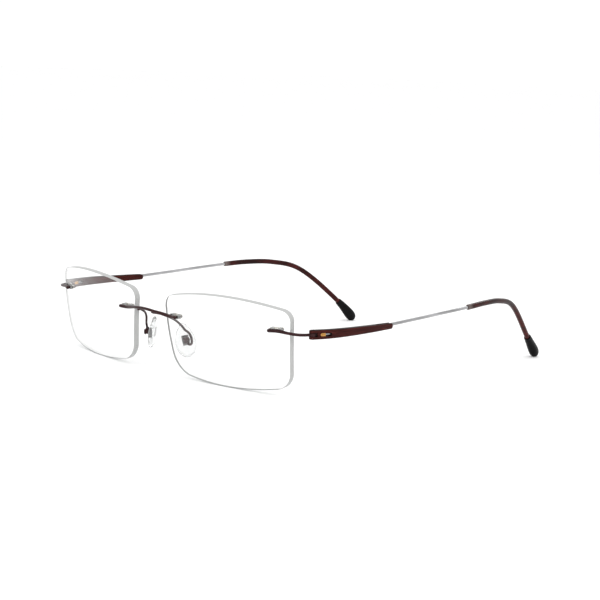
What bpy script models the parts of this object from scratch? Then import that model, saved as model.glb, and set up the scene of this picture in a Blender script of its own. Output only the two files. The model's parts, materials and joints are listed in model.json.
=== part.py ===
"""Rimless eyeglasses: drilled lenses, a wire bridge, wire end pieces and folding wire temples.

The glasses stand open on a table, on the lower edges of the lenses and on the ear tips.
X runs to the wearer's left, Y from the front of the lenses back to the ear tips, Z up.
Lengths and places are in millimetres and are scaled to metres as each mesh is made.
The design frame has its origin midway between the centres of the two lenses.
"""
import math

import bmesh
import bpy
from mathutils import Matrix, Vector

MM = 0.001

# Lenses
LENS_WIDTH = 54.0
LENS_HEIGHT = 30.9
LENS_GAP = 17.0
LENS_THICKNESS = 2.0
LENS_RADIUS = 100.0
LENS_WRAP = math.radians(9.1)
LENS_TILT = math.radians(8.4)
# Sharp corners of the lens outline (u towards the temple, v up), the length that the rounding
# takes off each side at the corner, and the rise of the side that leads on to the next corner.
LENS_CORNERS = [
    (27.0, 12.0, 3.2, 3.5),
    (-27.0, 12.4, 3.8, 0.35),
    (-23.2, -13.2, 6.5, 2.2),
    (25.0, -13.7, 5.0, 0.35),
]
LENS_RINGS = (0.95, 0.72, 0.36)

# Drilled mounts: two pegs through each end of each lens, in clear plastic plugs
HOLE_V = 6.0
BRIDGE_MOUNT_U = -22.15
TEMPLE_MOUNT_U = 21.45
HOLE_SPACING = 3.1
PEG_RADIUS = 0.45
PLUG_BORE_RADIUS = 0.5
PLUG_RADIUS = 0.72
LENS_HOLE_RADIUS = 0.77
PLUG_LENGTH = 2.85
PLUG_TOP = -0.15
PLUG_STRIP = 0.4
PLUG_STRIP_GAP = 0.12
PLUG_STRIP_RADIUS = 0.78
PEG_LENGTH = 3.1
BAR_STANDOFF = 0.85

# Bridge wire, from its middle out to the lens
BRIDGE_MID_RADIUS = 0.5
BRIDGE_END_RADIUS = 0.62
BRIDGE_THIN_TO = 4.5
BRIDGE_THIN_LENGTH = 5.0
BRIDGE_ROUTE = [(0.0, -4.3, 6.95), (2.6, -4.25, 6.86), (5.2, -3.9, 6.6), (7.9, -3.2, 6.25)]

# Pad arms and nose pads
ARM_RADIUS = 0.4
ARM_GAP = 0.08
ARM_ROUTE = [
    (3.7, -3.45, 6.05), (5.7, -2.5, 5.85), (7.3, 0.4, 5.2), (8.6, 3.1, 3.9), (10.0, 4.9, 2.1),
    (11.2, 5.9, 0.4),
]
# The hook at the end of the arm, in the frame of the nose pad: across, down, out of its face
ARM_HOOK = [
    (1.2, -2.1, -2.0), (1.65, -0.2, -1.75), (1.45, 1.25, -1.75), (0.8, 1.75, -1.75),
    (0.25, 1.2, -1.71),
]
PAD_PIVOT = (10.5, 6.9, -3.2)
PAD_DOWN = (0.25, 0.10, -0.96)
PAD_FACING = (-0.88, 0.47, 0.0)
PAD_LENGTH = 11.8
PAD_WIDTH = 6.8
PAD_BACK = 0.55
PAD_FRONT = 2.4
INSERT_SIZE = (2.3, 3.4, 0.45)
STUD_THICKNESS = 0.8
STUD_WIDTH = 1.5
STUD_BORE_RADIUS = 0.35
BOX_SIZE = (1.9, 1.9, 1.4)
BOX_FRONT = 0.18
BOX_FLOOR = 0.35
BOX_ROOM = 0.92
BOX_BORE_RADIUS = 0.33
PAD_SCREW_RADIUS = 0.3
PAD_SCREW_HEAD_RADIUS = 0.55
# The nose pad from its back to its face: how far through, and the size of the outline there
PAD_SECTIONS = [(0.0, 0.78), (0.12, 0.9), (0.38, 1.0), (0.62, 0.98), (0.86, 0.84), (1.0, 0.6)]
PAD_POCKET_GAP = 0.04

# Hinges
HINGE = (66.0, 12.4, 6.2)
HINGE_PIN_RADIUS = 0.5
EAR_BORE_RADIUS = 0.53
EYELET_BORE_RADIUS = 0.56
EYELET_RADIUS = 1.12
EYELET_HEIGHT = 1.1
SLOT_HEIGHT = 1.2
SLOT_DEPTH = 1.35
END_WIRE_RADIUS = 0.5
END_THIN_AT = 62.0
END_THIN_LENGTH = 4.0
END_OVERRUN = 0.2
END_WIRE_ROUTE = [(61.6, 5.75, 6.5), (64.2, 7.6, 6.25), (65.6, 10.0, 6.2)]

# Hinge sleeves: a curved bar around each hinge, with a window and a rear groove for the wire
SLEEVE_ROUTE = [
    (66.0, 12.4, 6.2), (67.35, 17.8, 6.25), (68.1, 23.5, 6.35), (68.2, 30.0, 6.45),
    (67.9, 38.0, 6.58), (67.2, 46.3, 6.7),
]
SLEEVE_THICKNESS = 2.3
SLEEVE_FRONT_HEIGHT = 3.2
SLEEVE_REAR_HEIGHT = 2.1
# The rounded ends of the sleeve: the rear one is shorter and a little narrower than the front one
SLEEVE_TAPER = 0.1
SLEEVE_REAR_END = 0.9
SLEEVE_SIDES = 16
SLEEVE_SQUARENESS = 4.0
WINDOW_START = 2.3
WINDOW_LENGTH = 4.4
WINDOW_HEIGHT = 1.15
GROOVE_LENGTH = 8.0
ANCHOR_LENGTH = 1.9
ANCHOR_BORE_RADIUS = 0.34

# Temples: wire, ear tube and rubber ear tip on one route
WIRE_RADIUS = 0.55
WIRE_TENON_RADIUS = 0.3
WIRE_TENON_LENGTH = 0.9
WIRE_BORE_RADIUS = 0.61
GROOVE_HALF_WIDTH = 0.94 * WIRE_BORE_RADIUS
TUBE_RADIUS = 0.98
TUBE_BORE_RADIUS = 0.6
TIP_BORE_RADIUS = 1.03
TEMPLE_ROUTE = [
    (66.95, 15.6, 6.22), (68.1, 24.0, 6.35), (68.2, 31.0, 6.5), (67.9, 39.0, 6.78),
    (67.15, 47.3, 7.12), (65.2, 86.9, 9.8), (63.4, 98.5, 10.4), (60.9, 108.8, 10.1),
    (57.4, 120.2, 7.5), (50.9, 138.4, -7.0), (48.9, 147.2, -15.9),
]
# Stops along that route, from its front end
CHANNEL_AT = 2.4
SLEEVE_REAR_AT = 31.8
PAST_SLEEVE = 4.0
TUBE_START_AT = 71.9
BEND_AT = 84.0
TIP_START_AT = 130.0
WIRE_END_AT = 132.0
TUBE_END_AT = 134.5
# The ear tip: place along its length, half width across and half width in the plane of the bend
TIP_SECTIONS = [
    (0.0, 1.22, 1.22), (1.2, 1.42, 1.45), (3.6, 1.55, 1.68), (6.0, 1.72, 1.95),
    (8.2, 1.82, 2.1), (9.8, 1.72, 1.98), (10.8, 1.38, 1.58), (11.4, 0.75, 0.85),
]

# The middle of the glasses, front to back
MIDDLE_Y = 71.1

ROUND_SIDES = 10
HOLE_SIDES = 14
EYELET_SIDES = 20
TIP_SIDES = 18
PAD_SIDES = 24
# How far a cutting shape runs past the surface that it cuts
OVERCUT = 1.0

PAINTS = {
    "clear_lens": ((0.93, 0.95, 0.95, 0.2), 0.04, 0.0),
    "brown_metal": ((0.105, 0.035, 0.028, 1.0), 0.3, 0.9),
    "silver_wire": ((0.62, 0.62, 0.63, 1.0), 0.22, 1.0),
    "brass": ((0.42, 0.24, 0.09, 1.0), 0.3, 1.0),
    "brown_sleeve": ((0.09, 0.022, 0.016, 1.0), 0.35, 0.0),
    "red_brown_tube": ((0.085, 0.014, 0.016, 1.0), 0.2, 0.0),
    "black_rubber": ((0.012, 0.012, 0.013, 1.0), 0.35, 0.0),
    "clear_silicone": ((0.88, 0.88, 0.87, 0.45), 0.2, 0.0),
    "clear_plug": ((0.85, 0.83, 0.8, 0.5), 0.15, 0.0),
    "steel": ((0.45, 0.44, 0.43, 1.0), 0.3, 1.0),
}


def clear_scene():
    for obj in list(bpy.data.objects):
        bpy.data.objects.remove(obj, do_unlink=True)


def make_materials():
    materials = {}
    for name, (colour, roughness, metallic) in PAINTS.items():
        material = bpy.data.materials.new(name)
        material.use_nodes = True
        shader = material.node_tree.nodes["Principled BSDF"]
        shader.inputs["Base Color"].default_value = colour
        shader.inputs["Roughness"].default_value = roughness
        shader.inputs["Metallic"].default_value = metallic
        shader.inputs["Alpha"].default_value = colour[3]
        material.diffuse_color = colour
        materials[name] = material
    return materials


# Curves and frames ------------------------------------------------------------------------


def smooth_route(points, per_span=24):
    """A dense smooth line through the points: a centripetal Catmull-Rom spline."""
    points = [Vector(p) for p in points]
    first = points[0] * 2 - points[1]
    last = points[-1] * 2 - points[-2]
    knots = [first] + points + [last]
    line = []
    for a, b, c, d in zip(knots, knots[1:], knots[2:], knots[3:]):
        t0 = 0.0
        t1 = t0 + math.sqrt((b - a).length)
        t2 = t1 + math.sqrt((c - b).length)
        t3 = t2 + math.sqrt((d - c).length)
        for i in range(per_span):
            t = t1 + (t2 - t1) * i / per_span
            ab = a.lerp(b, (t - t0) / (t1 - t0))
            bc = b.lerp(c, (t - t1) / (t2 - t1))
            cd = c.lerp(d, (t - t2) / (t3 - t2))
            abc = ab.lerp(bc, (t - t0) / (t2 - t0))
            bcd = bc.lerp(cd, (t - t1) / (t3 - t1))
            line.append(abc.lerp(bcd, (t - t1) / (t2 - t1)))
    line.append(points[-1])
    return line


def point_at(line, distance):
    """The point at a distance along a dense line, run on straight past either end."""
    here = 0.0
    for a, b in zip(line, line[1:]):
        span = (b - a).length
        if here + span >= distance:
            return a.lerp(b, (distance - here) / span)
        here += span
    a, b = line[-2:]
    return b + (b - a).normalized() * (distance - here)


def line_length(line):
    return sum((b - a).length for a, b in zip(line, line[1:]))


def steps(stops, step):
    """Distances that include every stop, with no gap between them longer than step."""
    distances = [stops[0]]
    for a, b in zip(stops, stops[1:]):
        count = max(1, math.ceil((b - a) / step - 1e-6))
        distances += [a + (b - a) * (i + 1) / count for i in range(count)]
    return distances


def frames_along(points, first_side):
    """A frame at each point, carried along the line without twist: side, up, tangent, place."""
    tangents = []
    for i in range(len(points)):
        a = points[max(i - 1, 0)]
        b = points[min(i + 1, len(points) - 1)]
        tangents.append((b - a).normalized())
    side = Vector(first_side)
    frames = []
    for point, tangent in zip(points, tangents):
        side = (side - tangent * side.dot(tangent)).normalized()
        up = tangent.cross(side)
        frames.append(Matrix((side, up, tangent)).transposed().to_4x4())
        frames[-1].translation = point
    return frames


def ring(frame, half_width, half_height, sides, power=2.0):
    """A closed ring of points: an ellipse, or with a higher power a rounded rectangle."""
    points = []
    for i in range(sides):
        angle = 2 * math.pi * i / sides
        c, s = math.cos(angle), math.sin(angle)
        x = half_width * math.copysign(abs(c) ** (2 / power), c)
        y = half_height * math.copysign(abs(s) ** (2 / power), s)
        points.append(frame @ Vector((x, y, 0.0)))
    return points


def half_turn(start, count):
    """The angles of half a circle, in equal steps."""
    return [start + math.pi * i / count for i in range(count + 1)]


def moved(frame, distance):
    """The same frame, moved along its tangent."""
    return Matrix.Translation(frame.to_3x3() @ Vector((0, 0, distance))) @ frame


# Meshes -----------------------------------------------------------------------------------


def skin(bm, rings, loop=False):
    """Joins rings of points into a tube, with capped ends or, as a loop, end to start."""
    loops = [[bm.verts.new(point) for point in points] for points in rings]
    count = len(loops[0])
    pairs = list(zip(loops, loops[1:]))
    if loop:
        pairs.append((loops[-1], loops[0]))
    for low, high in pairs:
        for i in range(count):
            j = (i + 1) % count
            bm.faces.new((low[i], low[j], high[j], high[i]))
    if not loop:
        bm.faces.new(list(reversed(loops[0])))
        bm.faces.new(loops[-1])


def wire_rings(frames, radii, round_end=True):
    """Rings of a round wire, with its start and, unless told otherwise, its end rounded off."""
    rings = [ring(f, r, r, ROUND_SIDES) for f, r in zip(frames, radii)]
    start, end = radii[0], radii[-1]
    for turn in (40, 72):
        grow, out = math.cos(math.radians(turn)), math.sin(math.radians(turn))
        first = moved(frames[0], -start * out)
        rings.insert(0, ring(first, start * grow, start * grow, ROUND_SIDES))
        if round_end:
            last = moved(frames[-1], end * out)
            rings.append(ring(last, end * grow, end * grow, ROUND_SIDES))
    return rings


def add_cylinder(bm, frame, low, high, radius, sides=HOLE_SIDES):
    skin(bm, [ring(moved(frame, z), radius, radius, sides) for z in (low, high)])


def add_box(bm, frame, size, centre=(0, 0, 0)):
    place = frame @ Matrix.Translation(Vector(centre)) @ Matrix.Diagonal((*size, 1.0))
    bmesh.ops.create_cube(bm, size=1.0, matrix=place)


def finish_mesh(name, bm, mirror):
    """Scales a bmesh in millimetres to a mesh in metres, mirrored for the wearer's right."""
    bmesh.ops.scale(bm, vec=(-MM if mirror else MM, MM, MM), verts=bm.verts)
    bmesh.ops.recalc_face_normals(bm, faces=bm.faces)
    mesh = bpy.data.meshes.new(name)
    bm.to_mesh(mesh)
    bm.free()
    mesh.shade_smooth()
    mesh.set_sharp_from_angle(angle=math.radians(35))
    return mesh


class Builder:
    """Makes the objects of one side (1 is the wearer's left) or of the middle."""

    def __init__(self, materials, root, side=1):
        self.materials = materials
        self.root = root
        self.side = side

    def name(self, base):
        return base + ("_left" if self.side > 0 else "_right")

    def place(self, name, bm, origin=(0, 0, 0)):
        origin = Vector(origin)
        bmesh.ops.translate(bm, vec=-origin, verts=bm.verts)
        obj = bpy.data.objects.new(name, finish_mesh(name, bm, self.side < 0))
        obj.location = Vector((origin.x * self.side, origin.y, origin.z)) * MM
        obj.parent = self.root
        bpy.context.collection.objects.link(obj)
        return obj

    def piece(self, name, bm, material, origin=(0, 0, 0)):
        obj = self.place(name, bm, origin)
        obj.data.materials.append(self.materials[material])
        return obj

    def cut(self, obj, bm, operation="DIFFERENCE"):
        """Cuts a shape out of an object, or joins it on, with a hidden helper object."""
        helper = self.place(f"{obj.name}.{operation.lower()}", bm)
        helper.hide_render = True
        helper.display_type = "WIRE"
        modifier = obj.modifiers.new(helper.name, "BOOLEAN")
        modifier.operation = operation
        modifier.object = helper


# Lenses -----------------------------------------------------------------------------------


def side_point(a, b, rise, t):
    """A point along a bowed side of the outline: a parabola that rises outwards from a to b."""
    along = b - a
    outward = Vector((along.y, -along.x)).normalized()
    return a + along * t + outward * rise * 4 * t * (1 - t)


def lens_outline(per_side=8, per_corner=5):
    """The lens outline, anticlockwise, scaled to the lens box."""
    corners = [Vector(c[:2]) for c in LENS_CORNERS]
    points = []
    for i, (_, _, trim, rise) in enumerate(LENS_CORNERS):
        a, b = corners[i], corners[(i + 1) % 4]
        next_trim, next_rise = LENS_CORNERS[(i + 1) % 4][2:]
        c = corners[(i + 2) % 4]
        length = (b - a).length
        start, end = trim / length, 1 - next_trim / length
        for k in range(per_side):
            points.append(side_point(a, b, rise, start + (end - start) * k / per_side))
        leave = side_point(a, b, rise, end)
        enter = side_point(b, c, next_rise, next_trim / (c - b).length)
        out = leave - side_point(a, b, rise, end - 0.01)
        back = enter - side_point(b, c, next_rise, next_trim / (c - b).length + 0.01)
        reach = 0.6 * next_trim
        h1 = leave + out.normalized() * reach
        h2 = enter + back.normalized() * reach
        for k in range(per_corner):
            t = k / per_corner
            s = 1 - t
            points.append(leave * s**3 + h1 * 3 * s * s * t + h2 * 3 * s * t * t + enter * t**3)
    low = Vector((min(p.x for p in points), min(p.y for p in points)))
    high = Vector((max(p.x for p in points), max(p.y for p in points)))
    middle = (low + high) / 2
    scale_u = LENS_WIDTH / (high.x - low.x)
    scale_v = LENS_HEIGHT / (high.y - low.y)
    return [Vector(((p.x - middle.x) * scale_u, (p.y - middle.y) * scale_v)) for p in points]


def lens_matrix():
    """From the lens's own frame (u, back, v) to the design frame."""
    wrap = Matrix.Rotation(LENS_WRAP, 4, "Z")
    shift = Matrix.Translation(((LENS_WIDTH + LENS_GAP) / 2, 0, 0))
    return Matrix.Rotation(LENS_TILT, 4, "X") @ shift @ wrap


def lens_depth(u, v):
    """How far the front surface falls back at a point of the lens."""
    return (u * u + v * v) / (2 * LENS_RADIUS)


def mount_frame(u):
    """The frame of a drilled mount: X towards the temple, Z out of the front of the lens."""
    v = HOLE_V
    normal = Vector((u / LENS_RADIUS, -1.0, v / LENS_RADIUS)).normalized()
    across = Vector((1.0, u / LENS_RADIUS, 0.0)).normalized()
    up = normal.cross(across)
    frame = Matrix((across, up, normal)).transposed().to_4x4()
    frame.translation = Vector((u, lens_depth(u, v), v))
    return lens_matrix() @ frame


def hole_frames(u):
    frame = mount_frame(u)
    half = HOLE_SPACING / 2
    return [frame @ Matrix.Translation((x, 0, 0)) for x in (-half, half)]


def make_lens(build):
    bm = bmesh.new()
    outline = lens_outline()
    place = lens_matrix()

    def surface(back):
        rings = []
        for scale in (1.0, *LENS_RINGS):
            shrunk = [p * scale for p in outline]
            rings.append([place @ Vector((p.x, back + lens_depth(p.x, p.y), p.y)) for p in shrunk])
        return rings

    rings = list(reversed(surface(0.0))) + surface(LENS_THICKNESS)
    skin(bm, rings)
    lens = build.piece(build.name("lens"), bm, "clear_lens")
    drill = bmesh.new()
    for frame in hole_frames(BRIDGE_MOUNT_U) + hole_frames(TEMPLE_MOUNT_U):
        add_cylinder(drill, frame, -LENS_THICKNESS - OVERCUT, OVERCUT, LENS_HOLE_RADIUS)
    build.cut(lens, drill)


def make_plug(build, base, u):
    """A pair of clear plugs that grip the pegs in the lens, joined by a strip behind it."""
    frame = mount_frame(u)
    bm = bmesh.new()
    back = -LENS_THICKNESS - PLUG_STRIP_GAP
    half = HOLE_SPACING / 2
    width = PLUG_STRIP_RADIUS
    rings = []
    for z in (back - PLUG_STRIP, back):
        level = moved(frame, z)
        rings.append([level @ Vector((side * half + width * math.cos(a), width * math.sin(a), 0))
                      for side in (-1, 1) for a in half_turn(-side * math.pi / 2, 8)])
    skin(bm, rings)
    plug = build.piece(build.name(base), bm, "clear_plug")
    tubes, bores = bmesh.new(), bmesh.new()
    for hole in hole_frames(u):
        add_cylinder(tubes, hole, -PLUG_LENGTH, PLUG_TOP, PLUG_RADIUS)
        add_cylinder(bores, hole, -PLUG_LENGTH - OVERCUT, OVERCUT, PLUG_BORE_RADIUS)
    build.cut(plug, tubes, "UNION")
    build.cut(plug, bores)


def add_pegs(bm, u):
    for hole in hole_frames(u):
        add_cylinder(bm, hole, -PEG_LENGTH, BAR_STANDOFF, PEG_RADIUS)


# Front metal ------------------------------------------------------------------------------


def make_bridge(build):
    """One wire over the nose, with two pegs at each end."""
    outer = mount_frame(BRIDGE_MOUNT_U)
    half = [Vector(p) for p in BRIDGE_ROUTE]
    half += [outer @ Vector((x, 0, BAR_STANDOFF))
             for x in (-HOLE_SPACING / 2, HOLE_SPACING / 2 + END_OVERRUN)]
    other = [Vector((-p.x, p.y, p.z)) for p in half[1:]]
    line = smooth_route(list(reversed(other)) + half)
    length = line_length(line)
    points = [point_at(line, s) for s in steps([0.0, length], 1.7)]
    radii = []
    for p in points:
        t = min(max((abs(p.x) - BRIDGE_THIN_TO) / BRIDGE_THIN_LENGTH, 0.0), 1.0)
        radii.append(BRIDGE_MID_RADIUS + (BRIDGE_END_RADIUS - BRIDGE_MID_RADIUS) * t)
    bm = bmesh.new()
    skin(bm, wire_rings(frames_along(points, (0, 1, 0)), radii))
    bridge = build.piece("bridge", bm, "brown_metal")
    for mirror in (1, -1):
        pegs = bmesh.new()
        add_pegs(pegs, BRIDGE_MOUNT_U)
        bmesh.ops.scale(pegs, vec=(mirror, 1, 1), verts=pegs.verts)
        build.cut(bridge, pegs, "UNION")


def make_end_piece(build):
    """The wire from the lens round to the hinge, with two pegs and an eyelet for the pin."""
    mount = mount_frame(TEMPLE_MOUNT_U)
    start = [mount @ Vector((x, 0, BAR_STANDOFF))
             for x in (-HOLE_SPACING / 2 - END_OVERRUN, HOLE_SPACING / 2)]
    hinge = Vector(HINGE)
    last = Vector(END_WIRE_ROUTE[-1])
    stop = hinge + (last - hinge).normalized() * (EYELET_RADIUS + EYELET_BORE_RADIUS) / 2
    line = smooth_route(start + [Vector(p) for p in END_WIRE_ROUTE] + [stop])
    points = [point_at(line, s) for s in steps([0.0, line_length(line)], 1.4)]
    radii = []
    for p in points:
        t = min(max((END_THIN_AT - p.x) / END_THIN_LENGTH, 0.0), 1.0)
        radii.append(END_WIRE_RADIUS + (BRIDGE_END_RADIUS - END_WIRE_RADIUS) * t)
    bm = bmesh.new()
    skin(bm, wire_rings(frames_along(points, (0, 0, 1)), radii, round_end=False))
    end_piece = build.piece(build.name("end_piece"), bm, "brown_metal")
    joined, bore = bmesh.new(), bmesh.new()
    add_pegs(joined, TEMPLE_MOUNT_U)
    pin = Matrix.Translation(hinge)
    add_cylinder(joined, pin, -EYELET_HEIGHT / 2, EYELET_HEIGHT / 2, EYELET_RADIUS, EYELET_SIDES)
    add_cylinder(bore, pin, -EYELET_HEIGHT, EYELET_HEIGHT, EYELET_BORE_RADIUS, EYELET_SIDES)
    build.cut(end_piece, joined, "UNION")
    build.cut(end_piece, bore)


def pad_frame():
    """The frame of a nose pad: X across it, Y down it, Z out of its face towards the nose."""
    down = Vector(PAD_DOWN).normalized()
    facing = Vector(PAD_FACING)
    facing = (facing - down * facing.dot(down)).normalized()
    across = down.cross(facing)
    frame = Matrix((across, down, facing)).transposed().to_4x4()
    frame.translation = Vector(PAD_PIVOT)
    return frame


def make_pad_arm(build):
    frame = pad_frame()
    behind = BOX_FRONT - BOX_SIZE[2] - ARM_RADIUS - ARM_GAP
    hook = ARM_HOOK + [(0, 0.2, behind)]
    line = smooth_route(ARM_ROUTE + [frame @ Vector(p) for p in hook])
    points = [point_at(line, s) for s in steps([0.0, line_length(line)], 0.75)]
    bm = bmesh.new()
    skin(bm, wire_rings(frames_along(points, (0, 1, 0)), [ARM_RADIUS] * len(points)))
    build.piece(build.name("pad_arm"), bm, "brown_metal")


def pad_outline(scale):
    """A teardrop, narrow at the top of the pad."""
    points = []
    for i in range(PAD_SIDES):
        angle = 2 * math.pi * i / PAD_SIDES
        y = math.sin(angle)
        width = 1.0 + 0.22 * y - 0.1 * y * y
        points.append((math.cos(angle) * width * PAD_WIDTH / 2 * scale, y * PAD_LENGTH / 2 * scale))
    return points


def make_nose_pad(build):
    frame = pad_frame()
    depth = PAD_FRONT - PAD_BACK
    rings = []
    for t, scale in PAD_SECTIONS:
        z = PAD_BACK + depth * t
        rings.append([frame @ Vector((x, y, z)) for x, y in pad_outline(scale)])
    bm = bmesh.new()
    skin(bm, rings)
    pad = build.piece(build.name("nose_pad"), bm, "clear_silicone", PAD_PIVOT)
    pocket = bmesh.new()
    x, y, z = INSERT_SIZE
    room = (x + 2 * PAD_POCKET_GAP, y + 2 * PAD_POCKET_GAP, 2 * (z + PAD_POCKET_GAP))
    add_box(pocket, frame, room, (0, 0, PAD_BACK))
    build.cut(pad, pocket)


def make_pad_insert(build):
    """The metal plate moulded into the back of the pad, with a stud that the screw goes through."""
    frame = pad_frame()
    bm = bmesh.new()
    add_box(bm, frame, INSERT_SIZE, (0, 0, PAD_BACK + INSERT_SIZE[2] / 2))
    insert = build.piece(build.name("pad_insert"), bm, "steel", PAD_PIVOT)
    stud, bore = bmesh.new(), bmesh.new()
    half = STUD_WIDTH / 2
    top = PAD_BACK + INSERT_SIZE[2] / 2
    outline = [(half * math.cos(a), half * math.sin(a)) for a in half_turn(math.pi, 10)]
    outline += [(half, top), (-half, top)]
    skin(stud, [[frame @ Vector((x, y, z)) for y, z in outline]
                for x in (-STUD_THICKNESS / 2, STUD_THICKNESS / 2)])
    across = frame @ Matrix.Rotation(math.pi / 2, 4, "Y")
    add_cylinder(bore, across, -BOX_SIZE[0], BOX_SIZE[0], STUD_BORE_RADIUS)
    build.cut(insert, stud, "UNION")
    build.cut(insert, bore)


def make_pad_box(build):
    """The open box on the end of the pad arm, which the stud of the pad rocks in."""
    frame = pad_frame()
    x, y, z = BOX_SIZE
    bm = bmesh.new()
    add_box(bm, frame, BOX_SIZE, (0, 0, BOX_FRONT - z / 2))
    box = build.piece(build.name("pad_box"), bm, "brown_metal")
    room, bore = bmesh.new(), bmesh.new()
    add_box(room, frame, (BOX_ROOM, y * 2, z), (0, 0, BOX_FRONT - z / 2 + BOX_FLOOR))
    across = frame @ Matrix.Rotation(math.pi / 2, 4, "Y")
    add_cylinder(bore, across, -x, x, BOX_BORE_RADIUS)
    build.cut(box, room)
    build.cut(box, bore)


def make_pad_screw(build):
    frame = pad_frame() @ Matrix.Rotation(math.pi / 2, 4, "Y")
    half = BOX_SIZE[0] / 2
    bm = bmesh.new()
    rings = []
    head = PAD_SCREW_HEAD_RADIUS
    for z, radius in ((-half, PAD_SCREW_RADIUS), (half + 0.05, PAD_SCREW_RADIUS),
                      (half + 0.05, head), (half + 0.25, head), (half + 0.4, head * 0.65)):
        rings.append(ring(moved(frame, z), radius, radius, HOLE_SIDES))
    skin(bm, rings)
    build.piece(build.name("pad_screw"), bm, "steel")


# Hinges and temples -----------------------------------------------------------------------


def sleeve_frame(line, distance):
    """The frame of the sleeve at a distance behind the hinge: X outwards, Y up, Z back."""
    a, b = point_at(line, max(distance, 0.1) - 0.1), point_at(line, max(distance, 0.1) + 0.1)
    tangent = Vector((b.x - a.x, b.y - a.y, 0)).normalized()
    outward = Vector((tangent.y, -tangent.x, 0))
    frame = Matrix((outward, Vector((0, 0, 1)), tangent)).transposed().to_4x4()
    frame.translation = point_at(line, max(distance, 0.0)) + tangent * min(distance, 0.0)
    return frame


def sleeve_rings(line):
    """Rings of the solid bar: a rounded front, a body that gets lower, and a rounded rear."""
    length = line_length(line)
    half = SLEEVE_THICKNESS / 2
    sections = []
    for turn in (78, 58, 38, 18):
        out, shrink = math.sin(math.radians(turn)), math.cos(math.radians(turn))
        height = SLEEVE_FRONT_HEIGHT / 2 * (0.76 + 0.24 * shrink ** 0.5)
        sections.append((-half * out, half * shrink, height))
    for distance in steps([0.0, length], 3.6):
        t = distance / length
        height = SLEEVE_FRONT_HEIGHT + (SLEEVE_REAR_HEIGHT - SLEEVE_FRONT_HEIGHT) * t**1.4
        sections.append((distance, half * (1 - SLEEVE_TAPER * t), height / 2))
    for turn in (25, 50, 72):
        out, shrink = math.sin(math.radians(turn)), math.cos(math.radians(turn))
        width = half * (1 - SLEEVE_TAPER) * (0.7 + 0.3 * shrink)
        height = SLEEVE_REAR_HEIGHT / 2 * (0.35 + 0.65 * shrink)
        sections.append((length + SLEEVE_REAR_END * out, width, height))
    return [ring(sleeve_frame(line, distance), width, height, SLEEVE_SIDES, SLEEVE_SQUARENESS)
            for distance, width, height in sections]


def make_sleeve(build, route):
    """The curved bar: a slot and bore for the hinge, a window, and a channel for the wire."""
    line = smooth_route(SLEEVE_ROUTE)
    bm = bmesh.new()
    skin(bm, sleeve_rings(line))
    sleeve = build.piece(build.name("hinge_sleeve"), bm, "brown_sleeve", HINGE)

    slot = bmesh.new()
    depth = 5 + SLOT_DEPTH
    add_box(slot, sleeve_frame(line, 0.0), (6, SLOT_HEIGHT, depth), (0, 0, SLOT_DEPTH - depth / 2))
    build.cut(sleeve, slot)

    bores = bmesh.new()
    add_cylinder(bores, Matrix.Translation(HINGE), -SLEEVE_FRONT_HEIGHT, SLEEVE_FRONT_HEIGHT,
                 EAR_BORE_RADIUS)
    build.cut(sleeve, bores)

    window = bmesh.new()
    skin(window, window_rings(line, WINDOW_LENGTH, WINDOW_HEIGHT / 2, SLEEVE_THICKNESS))
    build.cut(sleeve, window)

    channel = bmesh.new()
    beyond = SLEEVE_REAR_AT + PAST_SLEEVE
    skin(channel, [ring(f, WIRE_BORE_RADIUS, WIRE_BORE_RADIUS, ROUND_SIDES)
                   for f in stretch(route, CHANNEL_AT, beyond)])
    build.cut(sleeve, channel)

    # Open at the top, over the rear of the channel
    groove = bmesh.new()
    corners = [(-GROOVE_HALF_WIDTH, 0.0), (GROOVE_HALF_WIDTH, 0.0),
               (GROOVE_HALF_WIDTH, SLEEVE_REAR_HEIGHT), (-GROOVE_HALF_WIDTH, SLEEVE_REAR_HEIGHT)]
    skin(groove, [[frame @ Vector((x, y, 0)) for x, y in corners]
                  for frame in stretch(route, SLEEVE_REAR_AT - GROOVE_LENGTH, beyond)])
    build.cut(sleeve, groove)


def window_rings(line, length, radius, half_thickness, stop=None):
    """An oblong through the sleeve, or with stop the front end of one, cut off square."""
    frame = sleeve_frame(line, WINDOW_START + length / 2)
    reach = length / 2 - radius
    outline = [(radius * math.cos(a) - reach, radius * math.sin(a))
               for a in half_turn(math.pi / 2, 8)]
    if stop is None:
        outline += [(radius * math.cos(a) + reach, radius * math.sin(a))
                    for a in half_turn(-math.pi / 2, 8)]
    else:
        outline += [(stop - length / 2, -radius), (stop - length / 2, radius)]
    return [[frame @ Vector((x, y, z)) for z, y in outline] for x in (-half_thickness, half_thickness)]


def make_anchor(build, route):
    """The brass plug across the front of the window, which holds the end of the wire."""
    line = smooth_route(SLEEVE_ROUTE)
    bm = bmesh.new()
    skin(bm, window_rings(line, WINDOW_LENGTH - 0.1, WINDOW_HEIGHT / 2 - 0.05,
                          SLEEVE_THICKNESS / 2 - 0.08, ANCHOR_LENGTH))
    bmesh.ops.translate(bm, vec=sleeve_frame(line, WINDOW_START).to_3x3() @ Vector((0, 0, 0.05)),
                        verts=bm.verts)
    anchor = build.piece(build.name("wire_anchor"), bm, "brass", HINGE)
    bore = bmesh.new()
    first = route["frames"][0]
    add_cylinder(bore, first, -0.1, WIRE_TENON_LENGTH + 3, ANCHOR_BORE_RADIUS)
    build.cut(anchor, bore)


def make_hinge_pin(build):
    bm = bmesh.new()
    half = SLEEVE_FRONT_HEIGHT / 2 - 0.12
    add_cylinder(bm, Matrix.Translation(HINGE), -half, half, HINGE_PIN_RADIUS)
    build.piece(build.name("hinge_pin"), bm, "steel", HINGE)


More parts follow.
